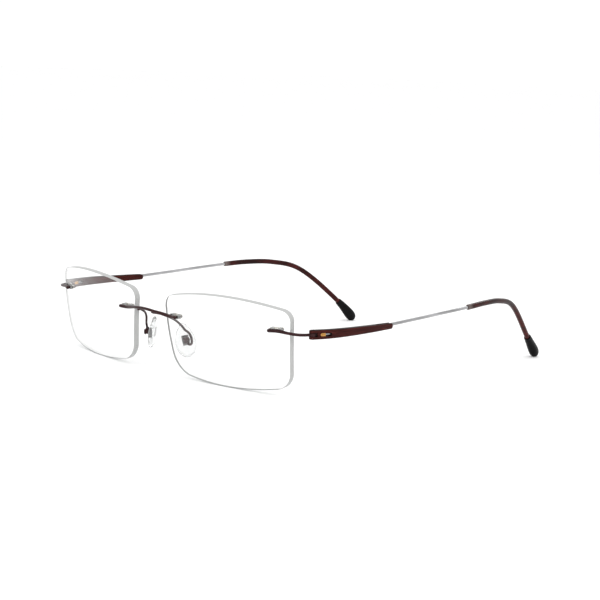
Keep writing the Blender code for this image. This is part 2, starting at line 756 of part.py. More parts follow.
def temple_route():
    """The shared route of wire, tube and tip, as frames at every stop of each of them."""
    line = smooth_route(TEMPLE_ROUTE)
    stops = [0.0, WIRE_TENON_LENGTH, CHANNEL_AT, SLEEVE_REAR_AT - GROOVE_LENGTH, SLEEVE_REAR_AT,
             SLEEVE_REAR_AT + PAST_SLEEVE, TUBE_START_AT]
    at = steps(stops, 8.0)
    at += steps([TUBE_START_AT, BEND_AT], 4.5)[1:]
    at += steps([BEND_AT, TIP_START_AT], 3.6)[1:]
    at += steps([TIP_START_AT, WIRE_END_AT, TUBE_END_AT], 2.6)[1:]
    points = [point_at(line, s) for s in at]
    return {"line": line, "at": at, "frames": frames_along(points, (-1, 0, 0))}


def stretch(route, start, end):
    return [f for f, s in zip(route["frames"], route["at"]) if start - 1e-6 <= s <= end + 1e-6]


def make_temple_wire(build, route):
    frames = stretch(route, 0.0, WIRE_END_AT)
    bm = bmesh.new()
    rings = [ring(frames[0], WIRE_TENON_RADIUS, WIRE_TENON_RADIUS, ROUND_SIDES)]
    rings.append(ring(frames[1], WIRE_TENON_RADIUS, WIRE_TENON_RADIUS, ROUND_SIDES))
    rings.append(ring(moved(frames[1], 0.02), WIRE_RADIUS, WIRE_RADIUS, ROUND_SIDES))
    rings += [ring(f, WIRE_RADIUS, WIRE_RADIUS, ROUND_SIDES) for f in frames[2:]]
    skin(bm, rings)
    build.piece(build.name("temple_wire"), bm, "silver_wire", HINGE)


def make_ear_tube(build, route):
    frames = stretch(route, TUBE_START_AT, TUBE_END_AT)
    outer = [ring(f, TUBE_RADIUS, TUBE_RADIUS, ROUND_SIDES) for f in frames]
    inner = [ring(f, TUBE_BORE_RADIUS, TUBE_BORE_RADIUS, ROUND_SIDES) for f in frames]
    bm = bmesh.new()
    skin(bm, outer + list(reversed(inner)), loop=True)
    build.piece(build.name("ear_tube"), bm, "red_brown_tube", HINGE)


def make_ear_tip(build, route, floor):
    """The rubber tip over the end of the tube, with a small flat foot where it stands."""
    line = route["line"]
    at = [TIP_START_AT + s for s, _, _ in TIP_SECTIONS]
    points = [point_at(line, s) for s in at]
    frames = frames_along(points, stretch(route, TIP_START_AT, TIP_START_AT)[0].col[0].to_3d())
    bm = bmesh.new()
    skin(bm, [ring(f, w, h, TIP_SIDES) for f, (_, w, h) in zip(frames, TIP_SECTIONS)])
    foot = bmesh.ops.bisect_plane(
        bm, geom=bm.verts[:] + bm.edges[:] + bm.faces[:], dist=1e-5,
        plane_co=(0, 0, floor), plane_no=(0, 0, -1), clear_outer=True)
    edges = [e for e in foot["geom_cut"] if isinstance(e, bmesh.types.BMEdge)]
    bmesh.ops.contextual_create(bm, geom=edges)
    tip = build.piece(build.name("ear_tip"), bm, "black_rubber", HINGE)
    bore = bmesh.new()
    socket = stretch(route, TIP_START_AT, TUBE_END_AT)
    socket = [moved(socket[0], -1.0)] + socket + [moved(socket[-1], 0.1)]
    skin(bore, [ring(f, TIP_BORE_RADIUS, TIP_BORE_RADIUS, ROUND_SIDES) for f in socket])
    build.cut(tip, bore)


def main():
    clear_scene()
    materials = make_materials()
    outline = lens_outline()
    place = lens_matrix()
    floor = min((place @ Vector((p.x, lens_depth(p.x, p.y), p.y))).z for p in outline)
    root = bpy.data.objects.new("glasses", None)
    root.location = Vector((0, -MIDDLE_Y, -floor)) * MM
    bpy.context.collection.objects.link(root)
    bpy.context.view_layer.update()
    route = temple_route()
    make_bridge(Builder(materials, root))
    for side in (1, -1):
        build = Builder(materials, root, side)
        make_lens(build)
        make_plug(build, "bridge_plug", BRIDGE_MOUNT_U)
        make_plug(build, "temple_plug", TEMPLE_MOUNT_U)
        make_pad_arm(build)
        make_pad_box(build)
        make_pad_screw(build)
        make_pad_insert(build)
        make_nose_pad(build)
        make_end_piece(build)
        make_hinge_pin(build)
        make_sleeve(build, route)
        make_anchor(build, route)
        make_temple_wire(build, route)
        make_ear_tube(build, route)
        make_ear_tip(build, route, floor)


main()
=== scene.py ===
"""The look of the rimless eyeglasses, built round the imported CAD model.

Shapes are built in the design frame, in millimetres: its origin is midway between the lens
centres, X to the wearer's left, Y back, Z up. ORIGIN carries them to the frame of the CAD model.
Every piece of the left side is made once and mirrored for the right.
"""
import json
import math

import bmesh
import bpy
from mathutils import Matrix, Vector


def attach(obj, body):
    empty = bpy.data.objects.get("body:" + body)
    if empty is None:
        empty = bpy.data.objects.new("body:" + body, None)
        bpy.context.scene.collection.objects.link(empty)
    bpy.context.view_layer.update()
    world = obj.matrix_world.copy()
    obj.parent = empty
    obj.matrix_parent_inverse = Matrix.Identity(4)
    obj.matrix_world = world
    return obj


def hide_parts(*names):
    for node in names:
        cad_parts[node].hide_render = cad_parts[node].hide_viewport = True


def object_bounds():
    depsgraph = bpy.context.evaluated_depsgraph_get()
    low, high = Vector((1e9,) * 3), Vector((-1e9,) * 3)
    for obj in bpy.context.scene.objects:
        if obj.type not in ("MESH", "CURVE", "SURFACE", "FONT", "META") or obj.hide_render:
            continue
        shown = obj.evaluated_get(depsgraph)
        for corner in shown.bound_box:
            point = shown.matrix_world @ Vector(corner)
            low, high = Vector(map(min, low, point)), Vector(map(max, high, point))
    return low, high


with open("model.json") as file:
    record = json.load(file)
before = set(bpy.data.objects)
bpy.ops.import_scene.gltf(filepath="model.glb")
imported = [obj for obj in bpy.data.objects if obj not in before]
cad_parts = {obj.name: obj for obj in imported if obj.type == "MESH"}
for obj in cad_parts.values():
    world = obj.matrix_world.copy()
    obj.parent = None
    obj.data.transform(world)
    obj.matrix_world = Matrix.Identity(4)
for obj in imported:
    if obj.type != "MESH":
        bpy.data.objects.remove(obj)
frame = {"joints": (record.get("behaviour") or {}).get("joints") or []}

MM = 0.001
cad_low, cad_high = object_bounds()

# The design, as in the CAD model --------------------------------------------------------------

LENS_WIDTH, LENS_HEIGHT, LENS_GAP = 54.0, 30.9, 17.0
LENS_THICKNESS, LENS_RADIUS = 2.0, 100.0
LENS_WRAP, LENS_TILT = math.radians(9.1), math.radians(8.4)
LENS_CORNERS = [
    (27.0, 12.0, 3.2, 3.5), (-27.0, 12.4, 3.8, 0.35), (-23.2, -13.2, 6.5, 2.2), (25.0, -13.7, 5.0, 0.35),
]
HOLE_V, BRIDGE_MOUNT_U, TEMPLE_MOUNT_U, HOLE_SPACING = 6.0, -22.15, 21.45, 3.1
PEG_RADIUS, PLUG_BORE_RADIUS, PLUG_RADIUS, LENS_HOLE_RADIUS = 0.45, 0.5, 0.72, 0.77
PLUG_LENGTH, PLUG_TOP, PLUG_STRIP, PLUG_STRIP_RADIUS, PLUG_STRIP_GAP = 2.85, -0.15, 0.4, 0.78, 0.12
PEG_LENGTH, BAR_STANDOFF, END_OVERRUN = 3.1, 0.85, 0.2
BRIDGE_MID_RADIUS, BRIDGE_END_RADIUS, BRIDGE_THIN_TO, BRIDGE_THIN_LENGTH = 0.5, 0.62, 4.5, 5.0
BRIDGE_ROUTE = [(0.0, -4.3, 6.95), (2.6, -4.25, 6.86), (5.2, -3.9, 6.6), (7.9, -3.2, 6.25)]
ARM_RADIUS, ARM_GAP = 0.4, 0.08
ARM_ROUTE = [
    (3.7, -3.45, 6.05), (5.7, -2.5, 5.85), (7.3, 0.4, 5.2), (8.6, 3.1, 3.9), (10.0, 4.9, 2.1),
    (11.2, 5.9, 0.4),
]
ARM_HOOK = [
    (1.2, -2.1, -2.0), (1.65, -0.2, -1.75), (1.45, 1.25, -1.75), (0.8, 1.75, -1.75),
    (0.25, 1.2, -1.71),
]
PAD_PIVOT, PAD_DOWN, PAD_FACING = (10.5, 6.9, -3.2), (0.25, 0.10, -0.96), (-0.88, 0.47, 0.0)
PAD_LENGTH, PAD_WIDTH, PAD_BACK, PAD_FRONT = 11.8, 6.8, 0.55, 2.4
INSERT_SIZE, STUD_THICKNESS, STUD_WIDTH, STUD_BORE_RADIUS = (2.3, 3.4, 0.45), 0.8, 1.5, 0.35
BOX_SIZE, BOX_FRONT, BOX_FLOOR, BOX_ROOM, BOX_BORE_RADIUS = (1.9, 1.9, 1.4), 0.18, 0.35, 0.92, 0.33
PAD_SCREW_RADIUS, PAD_SCREW_HEAD_RADIUS = 0.3, 0.55
HINGE = Vector((66.0, 12.4, 6.2))
HINGE_PIN_RADIUS, EAR_BORE_RADIUS, EYELET_BORE_RADIUS, EYELET_RADIUS = 0.5, 0.53, 0.56, 1.12
EYELET_HEIGHT, SLOT_HEIGHT, SLOT_DEPTH = 1.1, 1.2, 1.35
END_WIRE_RADIUS, END_THIN_AT, END_THIN_LENGTH = 0.5, 62.0, 4.0
END_WIRE_ROUTE = [(61.6, 5.75, 6.5), (64.2, 7.6, 6.25), (65.6, 10.0, 6.2)]
SLEEVE_ROUTE = [
    (66.0, 12.4, 6.2), (67.35, 17.8, 6.25), (68.1, 23.5, 6.35), (68.2, 30.0, 6.45),
    (67.9, 38.0, 6.58), (67.2, 46.3, 6.7),
]
SLEEVE_THICKNESS, SLEEVE_FRONT_HEIGHT, SLEEVE_REAR_HEIGHT = 2.3, 3.2, 2.1
WINDOW_START, WINDOW_LENGTH, WINDOW_HEIGHT, GROOVE_LENGTH = 2.3, 4.4, 1.15, 8.0
ANCHOR_LENGTH, ANCHOR_BORE_RADIUS = 1.9, 0.34
WIRE_RADIUS, WIRE_TENON_RADIUS, WIRE_TENON_LENGTH, WIRE_BORE_RADIUS = 0.55, 0.3, 0.9, 0.61
TUBE_RADIUS, TUBE_BORE_RADIUS, TIP_BORE_RADIUS = 0.98, 0.6, 1.03
TEMPLE_ROUTE = [
    (66.95, 15.6, 6.22), (68.1, 24.0, 6.35), (68.2, 31.0, 6.5), (67.9, 39.0, 6.78),
    (67.15, 47.3, 7.12), (65.2, 86.9, 9.8), (63.4, 98.5, 10.4), (60.9, 108.8, 10.1),
    (57.4, 120.2, 7.5), (50.9, 138.4, -7.0), (48.9, 147.2, -15.9),
]
CHANNEL_AT, SLEEVE_REAR_AT, TUBE_START_AT, TIP_START_AT = 2.4, 31.8, 71.9, 130.0
WIRE_END_AT, TUBE_END_AT = 132.0, 134.5
TIP_SECTIONS = [
    (0.0, 1.22, 1.22), (1.2, 1.42, 1.45), (3.6, 1.55, 1.68), (6.0, 1.72, 1.95),
    (8.2, 1.82, 2.1), (9.6, 1.72, 1.98), (10.5, 1.42, 1.63), (11.05, 1.0, 1.15), (11.3, 0.6, 0.7),
]

# Details that only the visible meshes have
LENS_BEVEL = 0.18
LENS_RINGS = (0.12, 0.3, 0.48, 0.64, 0.78, 0.89, 0.96)
# The sleeve: how much narrower its rear is, how far its rear end is rounded, how square it is
SLEEVE_TAPER, SLEEVE_REAR_END, SLEEVE_SQUARENESS, SLEEVE_SIDES = 0.1, 0.9, 4.0, 40
# Cutting shapes for the sleeve, which reach past its surface
WINDOW_CUT, GROOVE_CUT, PIN_CUT, PAST_SLEEVE = 3.0, 2.5, 3.0, 4.0
GROOVE_HALF_WIDTH = 0.94 * WIRE_BORE_RADIUS

# Fineness of the visible meshes
FINE, FINER = 20, 28

JOINTS = {joint["name"]: joint for joint in frame["joints"]}
ORIGIN = Vector(JOINTS["left_temple_fold"]["pos_m"]) - HINGE * MM


# Curves and frames ----------------------------------------------------------------------------


def smooth_route(points, per_span=24):
    """A dense smooth line through the points: a centripetal Catmull-Rom spline."""
    points = [Vector(p) for p in points]
    knots = [points[0] * 2 - points[1]] + points + [points[-1] * 2 - points[-2]]
    line = []
    for a, b, c, d in zip(knots, knots[1:], knots[2:], knots[3:]):
        t0 = 0.0
        t1 = t0 + math.sqrt((b - a).length)
        t2 = t1 + math.sqrt((c - b).length)
        t3 = t2 + math.sqrt((d - c).length)
        for i in range(per_span):
            t = t1 + (t2 - t1) * i / per_span
            ab = a.lerp(b, (t - t0) / (t1 - t0))
            bc = b.lerp(c, (t - t1) / (t2 - t1))
            cd = c.lerp(d, (t - t2) / (t3 - t2))
            abc = ab.lerp(bc, (t - t0) / (t2 - t0))
            bcd = bc.lerp(cd, (t - t1) / (t3 - t1))
            line.append(abc.lerp(bcd, (t - t1) / (t2 - t1)))
    line.append(points[-1])
    return line


def point_at(line, distance):
    here = 0.0
    for a, b in zip(line, line[1:]):
        span = (b - a).length
        if here + span >= distance:
            return a.lerp(b, (distance - here) / span)
        here += span
    a, b = line[-2:]
    return b + (b - a).normalized() * (distance - here)


def line_length(line):
    return sum((b - a).length for a, b in zip(line, line[1:]))


def steps(stops, step):
    """Distances that include every stop, with no gap between them longer than step."""
    distances = [stops[0]]
    for a, b in zip(stops, stops[1:]):
        count = max(1, math.ceil((b - a) / step - 1e-6))
        distances += [a + (b - a) * (i + 1) / count for i in range(count)]
    return distances


def frames_along(points, first_side):
    """A frame at each point, carried along the line without twist: side, up, tangent, place."""
    side = Vector(first_side)
    frames = []
    for i, point in enumerate(points):
        tangent = (points[min(i + 1, len(points) - 1)] - points[max(i - 1, 0)]).normalized()
        side = (side - tangent * side.dot(tangent)).normalized()
        up = tangent.cross(side)
        frames.append(Matrix((side, up, tangent)).transposed().to_4x4())
        frames[-1].translation = point
    return frames


def moved(matrix, distance):
    """The same frame, moved along its tangent."""
    return Matrix.Translation(matrix.to_3x3() @ Vector((0, 0, distance))) @ matrix


def turned(matrix, axis):
    return matrix @ Matrix.Rotation(math.pi / 2, 4, axis)


def ring(matrix, half_width, half_height, sides=FINE, power=2.0):
    """A closed ring of points: an ellipse, or with a higher power a rounded rectangle."""
    points = []
    for i in range(sides):
        c, s = math.cos(2 * math.pi * i / sides), math.sin(2 * math.pi * i / sides)
        x = half_width * math.copysign(abs(c) ** (2 / power), c)
        y = half_height * math.copysign(abs(s) ** (2 / power), s)
        points.append(matrix @ Vector((x, y, 0.0)))
    return points


def half_turn(start, count):
    return [start + math.pi * i / count for i in range(count + 1)]


# Meshes ---------------------------------------------------------------------------------------


def skin(bm, rings, loop=False):
    """Joins rings of points into a tube, with capped ends or, as a loop, end to start."""
    loops = [[bm.verts.new(point) for point in points] for points in rings]
    count = len(loops[0])
    pairs = list(zip(loops, loops[1:])) + ([(loops[-1], loops[0])] if loop else [])
    for low, high in pairs:
        for i in range(count):
            j = (i + 1) % count
            bm.faces.new((low[i], low[j], high[j], high[i]))
    if not loop:
        for points, turn in ((loops[0], -1), (loops[-1], 1)):
            middle = bm.verts.new(sum((v.co for v in points), Vector()) / count)
            for i in range(count):
                a, b = points[i], points[(i + 1) % count]
                bm.faces.new((a, b, middle) if turn > 0 else (b, a, middle))


def dome(matrix, radius, sides, turns, sign):
    """Rings that round off the end of a wire."""
    rings = []
    for turn in turns:
        grow, out = math.cos(math.radians(turn)), math.sin(math.radians(turn))
        rings.append(ring(moved(matrix, sign * radius * out), radius * grow, radius * grow, sides))
    return rings


def wire_rings(frames, radii, sides=FINE, start=True, end=True):
    """Rings of a round wire, with rounded ends."""
    rings = [ring(f, r, r, sides) for f, r in zip(frames, radii)]
    if start:
        rings = dome(frames[0], radii[0], sides, (84, 66, 48, 32, 16), -1) + rings
    if end:
        rings += dome(frames[-1], radii[-1], sides, (16, 32, 48, 66, 84), 1)
    return rings


def turned_rings(matrix, profile, sides=FINER):
    """Rings of a turned shape from (place along the axis, radius)."""
    return [ring(moved(matrix, z), r, r, sides) for z, r in profile]


def box_rings(matrix, size, centre=(0, 0, 0)):
    """Two rings of four corners, for a box."""
    x, y, z = (s / 2 for s in size)
    place = matrix @ Matrix.Translation(Vector(centre))
    corners = [(-x, -y), (x, -y), (x, y), (-x, y)]
    return [[place @ Vector((u, v, w)) for u, v in corners] for w in (-z, z)]


def make_mesh(name, fill):
    """A mesh in millimetres from a function that fills a bmesh."""
    bm = bmesh.new()
    fill(bm)
    bmesh.ops.recalc_face_normals(bm, faces=bm.faces)
    mesh = bpy.data.meshes.new(name)
    bm.to_mesh(mesh)
    bm.free()
    return mesh


def tubes(*ring_sets):
    """A function that fills a bmesh with one closed tube for each set of rings."""
    def fill(bm):
        for rings in ring_sets:
            skin(bm, rings)
    return fill


def combined(mesh, *changes, bevel=0.0, angle=32):
    """The mesh after joins and cuts, each an (operation, fill function), and a bevel."""
    obj = bpy.data.objects.new("work", mesh)
    bpy.context.scene.collection.objects.link(obj)
    helpers = []
    for operation, fill in changes:
        helper = bpy.data.objects.new("helper", make_mesh("helper", fill))
        bpy.context.scene.collection.objects.link(helper)
        helpers.append(helper)
        modifier = obj.modifiers.new(operation, "BOOLEAN")
        modifier.operation = operation
        modifier.object = helper
    if bevel:
        modifier = obj.modifiers.new("bevel", "BEVEL")
        modifier.width = bevel
        modifier.segments = 2
        modifier.limit_method = "ANGLE"
        modifier.angle_limit = math.radians(angle)
        modifier.use_clamp_overlap = True
        modifier.loop_slide = False
    graph = bpy.context.evaluated_depsgraph_get()
    done = bpy.data.meshes.new_from_object(obj.evaluated_get(graph))
    for extra in helpers + [obj]:
        bpy.data.objects.remove(extra, do_unlink=True)
    return done


def finish_piece(name, mesh, body, node, materials, side=1, smooth=35):
    """A visible piece in the frame of the CAD model, which stands for one CAD node."""
    data = mesh.copy()
    place = Matrix.Translation(ORIGIN) @ Matrix.Scale(MM, 4)
    if side < 0:
        place = Matrix.Diagonal((-1, 1, 1, 1)) @ place
    data.transform(place)
    if side < 0:
        data.flip_normals()
    data.name = name
    kinds = [0] * len(data.polygons)
    data.polygons.foreach_get("material_index", kinds)
    data.materials.clear()
    for material in materials:
        data.materials.append(material)
    data.polygons.foreach_set("material_index", kinds)
    data.shade_smooth()
    data.set_sharp_from_angle(angle=math.radians(smooth))
    piece = bpy.data.objects.new(name, data)
    bpy.context.scene.collection.objects.link(piece)
    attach(piece, body)
    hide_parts(node)
    return piece


def both_sides(base, mesh, body, node, materials, smooth=35):
    """The piece of the wearer's left and its mirror image."""
    for side, word in ((1, "left"), (-1, "right")):
        finish_piece(f"{word}_{base}", mesh, body.format(side=word), f"{node}_{word}",
                     materials, side, smooth)


# Materials ------------------------------------------------------------------------------------


class Paint:
    """A material and short calls for its nodes."""

    def __init__(self, name, **values):
        self.material = bpy.data.materials.new(name)
        self.material.use_nodes = True
        self.tree = self.material.node_tree
        self.shader = self.tree.nodes["Principled BSDF"]
        self.output = self.tree.nodes["Material Output"]
        self.coordinates = self.node("ShaderNodeTexCoord").outputs["Object"]
        for socket, value in values.items():
            self.shader.inputs[socket.replace("_", " ")].default_value = value

    def node(self, kind, **settings):
        made = self.tree.nodes.new(kind)
        for name, value in settings.items():
            setattr(made, name, value)
        return made

    def link(self, a, b):
        self.tree.links.new(a, b)

    def stretched(self, scale):
        """Object coordinates in millimetres, scaled along each axis."""
        mapping = self.node("ShaderNodeMapping")
        mapping.inputs["Scale"].default_value = [s / MM for s in scale]
        self.link(self.coordinates, mapping.inputs["Vector"])
        return mapping.outputs["Vector"]

    def noise(self, scale, detail=4.0, roughness=0.55, distortion=0.0):
        made = self.node("ShaderNodeTexNoise")
        made.inputs["Scale"].default_value = 1.0
        made.inputs["Detail"].default_value = detail
        made.inputs["Roughness"].default_value = roughness
        made.inputs["Distortion"].default_value = distortion
        self.link(self.stretched(scale), made.inputs["Vector"])
        return made.outputs["Fac"]

    def ramp(self, value, *stops):
        """A colour ramp: each stop is a place and a grey value or a colour."""
        made = self.node("ShaderNodeValToRGB")
        elements = made.color_ramp.elements
        while len(elements) < len(stops):
            elements.new(0.5)
        for element, (place, colour) in zip(elements, stops):
            element.position = place
            element.color = (*colour, 1) if isinstance(colour, tuple) else (colour,) * 3 + (1,)
        self.link(value, made.inputs["Fac"])
        return made.outputs["Color"]

    def mix(self, factor, a, b, blend="MIX"):
        made = self.node("ShaderNodeMix", data_type="RGBA", blend_type=blend)
        for socket, value in ((made.inputs["Factor"], factor), (made.inputs["A"], a), (made.inputs["B"], b)):
            if isinstance(value, (int, float, tuple)):
                socket.default_value = value
            else:
                self.link(value, socket)
        return made.outputs["Result"]

    def range(self, value, low, high, from_low=0.0, from_high=1.0):
        made = self.node("ShaderNodeMapRange")
        made.inputs["From Min"].default_value = from_low
        made.inputs["From Max"].default_value = from_high
        made.inputs["To Min"].default_value = low
        made.inputs["To Max"].default_value = high
        self.link(value, made.inputs["Value"])
        return made.outputs["Result"]

    def place(self, axis, start, end):
        """How far a point is from start to end along an axis, in millimetres of the CAD frame."""
        parts = self.node("ShaderNodeSeparateXYZ")
        self.link(self.coordinates, parts.inputs["Vector"])
        return self.range(parts.outputs[axis], 0.0, 1.0, start * MM, end * MM)

    def set(self, socket, value):
        self.link(value, self.shader.inputs[socket])

    def bump(self, height, strength, distance_mm):
        made = self.node("ShaderNodeBump")
        made.inputs["Strength"].default_value = strength
        made.inputs["Distance"].default_value = distance_mm * MM
        self.link(height, made.inputs["Height"])
        self.link(made.outputs["Normal"], self.shader.inputs["Normal"])

    def let_lamps_through(self, tint):
        """Clear plastic that lamps pass through, so that it casts only a faint shadow."""
        path = self.node("ShaderNodeLightPath")
        clear = self.node("ShaderNodeBsdfTransparent")
        clear.inputs["Color"].default_value = tint
        mix = self.node("ShaderNodeMixShader")
        self.link(path.outputs["Is Shadow Ray"], mix.inputs["Fac"])
        self.link(self.shader.outputs["BSDF"], mix.inputs[1])
        self.link(clear.outputs["BSDF"], mix.inputs[2])
        self.link(mix.outputs["Shader"], self.output.inputs["Surface"])


def paint_lens():
    p = Paint("polished_lens", IOR=1.38, Transmission_Weight=1.0, Roughness=0.0)
    cloud = p.noise((0.08, 0.08, 0.08), 2)
    p.set("Base Color", p.ramp(cloud, (0.3, (0.978, 0.984, 0.982)), (0.7, (0.992, 0.995, 0.994))))
    p.let_lamps_through((0.93, 0.94, 0.94, 1))
    return p.material


def paint_lens_edge():
    p = Paint("ground_lens_edge", IOR=1.49, Specular_IOR_Level=0.3)
    fine = p.noise((6, 6, 6), 3)
    p.set("Base Color", p.ramp(fine, (0.3, (0.39, 0.395, 0.39)), (0.7, (0.51, 0.515, 0.51))))
    p.set("Roughness", p.range(fine, 0.35, 0.6))
    p.bump(p.noise((3, 3, 3), 2), 0.12, 0.03)
    p.let_lamps_through((0.7, 0.72, 0.72, 1))
    return p.material


def paint_brown_metal():
    p = Paint("brown_lacquer", Metallic=0.85, Specular_IOR_Level=0.2)
    broad = p.noise((0.35, 0.35, 0.35), 4)
    grain = p.noise((5, 5, 5), 3)
    p.set("Base Color", p.mix(p.range(grain, 0.0, 1.0, 0.35, 0.7),
                              p.ramp(broad, (0.35, (0.024, 0.0115, 0.0125)), (0.7, (0.056, 0.022, 0.022))),
                              (0.046, 0.024, 0.025, 1)))
    p.set("Roughness", p.range(grain, 0.2, 0.42))
    p.bump(grain, 0.15, 0.02)
    return p.material


def paint_silver():
    p = Paint("drawn_silver", Metallic=1.0)
    drawn = p.noise((7, 0.25, 7), 3)
    broad = p.noise((0.5, 0.06, 0.5), 3)
    tone = p.range(broad, 0, 1, 0.35, 0.65)
    p.set("Base Color", p.mix(tone, (0.29, 0.29, 0.295, 1), (0.46, 0.46, 0.47, 1)))
    p.set("Roughness", p.range(drawn, 0.16, 0.36))
    p.bump(drawn, 0.2, 0.012)
    return p.material


def paint_brass():
    p = Paint("gold_block", Metallic=1.0)
    grain = p.noise((4, 1.2, 4), 4)
    p.set("Base Color", p.ramp(grain, (0.3, (0.36, 0.17, 0.045)), (0.72, (0.66, 0.38, 0.12))))
    p.set("Roughness", p.range(grain, 0.22, 0.4))
    p.bump(grain, 0.25, 0.02)
    return p.material


def paint_sleeve():
    p = Paint("streaked_brown", IOR=1.5, Specular_IOR_Level=0.07)
    streaks = p.noise((1.6, 0.10, 1.9), 6, 0.62, 0.25)
    threads = p.noise((5.5, 0.22, 6.5), 3, 0.5)
    wide = p.noise((0.35, 0.07, 0.6), 2)
    base = p.ramp(streaks, (0.30, (0.010, 0.0020, 0.0017)), (0.48, (0.040, 0.0065, 0.0050)),
                  (0.64, (0.085, 0.015, 0.011)), (0.80, (0.15, 0.036, 0.022)))
    base = p.mix(p.range(threads, 0.0, 0.7, 0.5, 0.78), base, (0.014, 0.0035, 0.003, 1))
    p.set("Base Color", p.mix(p.range(wide, 0.0, 0.55, 0.4, 0.7), base, (0.030, 0.0060, 0.0060, 1)))
    p.set("Roughness", p.range(threads, 0.24, 0.46))
    p.bump(p.mix(0.5, streaks, threads), 0.18, 0.03)
    return p.material


# Painted shade: a darker brown for the sleeve's top and bottom faces, standing in for the shade along its
# upper and lower edges; only the streaks in it are grain.
def paint_sleeve_painted_shade():
    p = Paint("sleeve_edge_painted_shade", IOR=1.5, Specular_IOR_Level=0.1)
    threads = p.noise((2.5, 0.15, 2.5), 4)
    p.set("Base Color", p.ramp(threads, (0.35, (0.005, 0.0016, 0.0015)), (0.7, (0.018, 0.0045, 0.004))))
    p.set("Roughness", p.range(threads, 0.26, 0.48))
    p.bump(threads, 0.15, 0.03)
    return p.material


def paint_tube():
    p = Paint("dark_red_tube", IOR=1.46, Specular_IOR_Level=0.1)
    cloud = p.noise((0.5, 0.12, 0.3), 4, 0.55, 0.4)
    dark = p.ramp(cloud, (0.32, (0.010, 0.0032, 0.0032)), (0.52, (0.026, 0.0060, 0.0055)),
                  (0.75, (0.060, 0.0090, 0.0095)))
    red = p.ramp(cloud, (0.32, (0.020, 0.0040, 0.0036)), (0.52, (0.052, 0.0085, 0.0075)),
                 (0.75, (0.105, 0.015, 0.014)))
    brown = p.mix(p.place("Y", 38, 66), dark, red)
    p.set("Base Color", p.mix(p.place("Y", 15.2, 18.6), (0.20, 0.17, 0.16, 1), brown))
    fine = p.noise((3, 1, 3), 3)
    p.set("Roughness", p.range(fine, 0.14, 0.28))
    p.bump(fine, 0.1, 0.02)
    return p.material


def paint_rubber():
    p = Paint("moulded_rubber", IOR=1.5, Specular_IOR_Level=0.09)
    grain = p.noise((6, 6, 6), 4)
    broad = p.noise((0.6, 0.4, 0.5), 3)
    p.set("Base Color", p.ramp(broad, (0.35, (0.0015, 0.0015, 0.0016)), (0.7, (0.005, 0.005, 0.0053))))
    p.set("Roughness", p.range(p.mix(0.4, grain, broad), 0.2, 0.34, 0.35, 0.65))
    p.bump(grain, 0.12, 0.02)
    return p.material


def paint_silicone():
    p = Paint("soft_clear_pad", IOR=1.41, Transmission_Weight=0.9)
    cloud = p.noise((0.6, 0.6, 0.6), 3)
    p.set("Base Color", p.ramp(cloud, (0.35, (0.86, 0.87, 0.87)), (0.7, (0.95, 0.955, 0.95))))
    p.set("Roughness", p.range(p.noise((5, 5, 5), 3), 0.06, 0.2))
    p.bump(p.noise((2.5, 2.5, 2.5), 3), 0.12, 0.04)
    p.let_lamps_through((0.86, 0.87, 0.87, 1))
    return p.material


def paint_plug():
    p = Paint("moulded_plug", IOR=1.49, Transmission_Weight=0.85)
    cloud = p.noise((1.5, 1.5, 1.5), 3)
    p.set("Base Color", p.ramp(cloud, (0.35, (0.80, 0.77, 0.70)), (0.7, (0.93, 0.92, 0.89))))
    p.set("Roughness", p.range(cloud, 0.05, 0.16))
    p.let_lamps_through((0.84, 0.82, 0.78, 1))
    return p.material


def paint_steel():
    p = Paint("turned_steel", Metallic=1.0)
    grain = p.noise((8, 8, 8), 3)
    p.set("Base Color", p.ramp(grain, (0.3, (0.13, 0.125, 0.125)), (0.7, (0.25, 0.24, 0.24))))
    p.set("Roughness", p.range(grain, 0.2, 0.38))
    p.bump(grain, 0.15, 0.015)
    return p.material


def paint_floor():
    p = Paint("pale_floor", Roughness=0.85)
    p.set("Base Color", p.ramp(p.noise((0.02, 0.02, 0.02), 3), (0.3, 0.955), (0.7, 0.97)))
    return p.material


# Lenses ---------------------------------------------------------------------------------------


def side_point(a, b, rise, t):
    """A point along a bowed side of the outline: a parabola that rises outwards from a to b."""
    along = b - a
    outward = Vector((along.y, -along.x)).normalized()
    return a + along * t + outward * rise * 4 * t * (1 - t)


def lens_outline(per_side=30, per_corner=16):
    """The lens outline, anticlockwise, scaled to the lens box."""
    corners = [Vector(c[:2]) for c in LENS_CORNERS]
    points = []
    for i, (_, _, trim, rise) in enumerate(LENS_CORNERS):
        a, b, c = corners[i], corners[(i + 1) % 4], corners[(i + 2) % 4]
        next_trim, next_rise = LENS_CORNERS[(i + 1) % 4][2:]
        length = (b - a).length
        start, end = trim / length, 1 - next_trim / length
        for k in range(per_side):
            points.append(side_point(a, b, rise, start + (end - start) * k / per_side))
        leave = side_point(a, b, rise, end)
        enter = side_point(b, c, next_rise, next_trim / (c - b).length)
        out = leave - side_point(a, b, rise, end - 0.01)
        back = enter - side_point(b, c, next_rise, next_trim / (c - b).length + 0.01)
        h1 = leave + out.normalized() * 0.6 * next_trim
        h2 = enter + back.normalized() * 0.6 * next_trim
        for k in range(per_corner):
            t = k / per_corner
            s = 1 - t
            points.append(leave * s**3 + h1 * 3 * s * s * t + h2 * 3 * s * t * t + enter * t**3)
    low = Vector((min(p.x for p in points), min(p.y for p in points)))
    high = Vector((max(p.x for p in points), max(p.y for p in points)))
    middle = (low + high) / 2
    scale = (LENS_WIDTH / (high.x - low.x), LENS_HEIGHT / (high.y - low.y))
    return [Vector(((p.x - middle.x) * scale[0], (p.y - middle.y) * scale[1])) for p in points]


LENS_PLACE = (Matrix.Rotation(LENS_TILT, 4, "X")
              @ Matrix.Translation(((LENS_WIDTH + LENS_GAP) / 2, 0, 0))
              @ Matrix.Rotation(LENS_WRAP, 4, "Z"))


def lens_depth(u, v):
    return (u * u + v * v) / (2 * LENS_RADIUS)


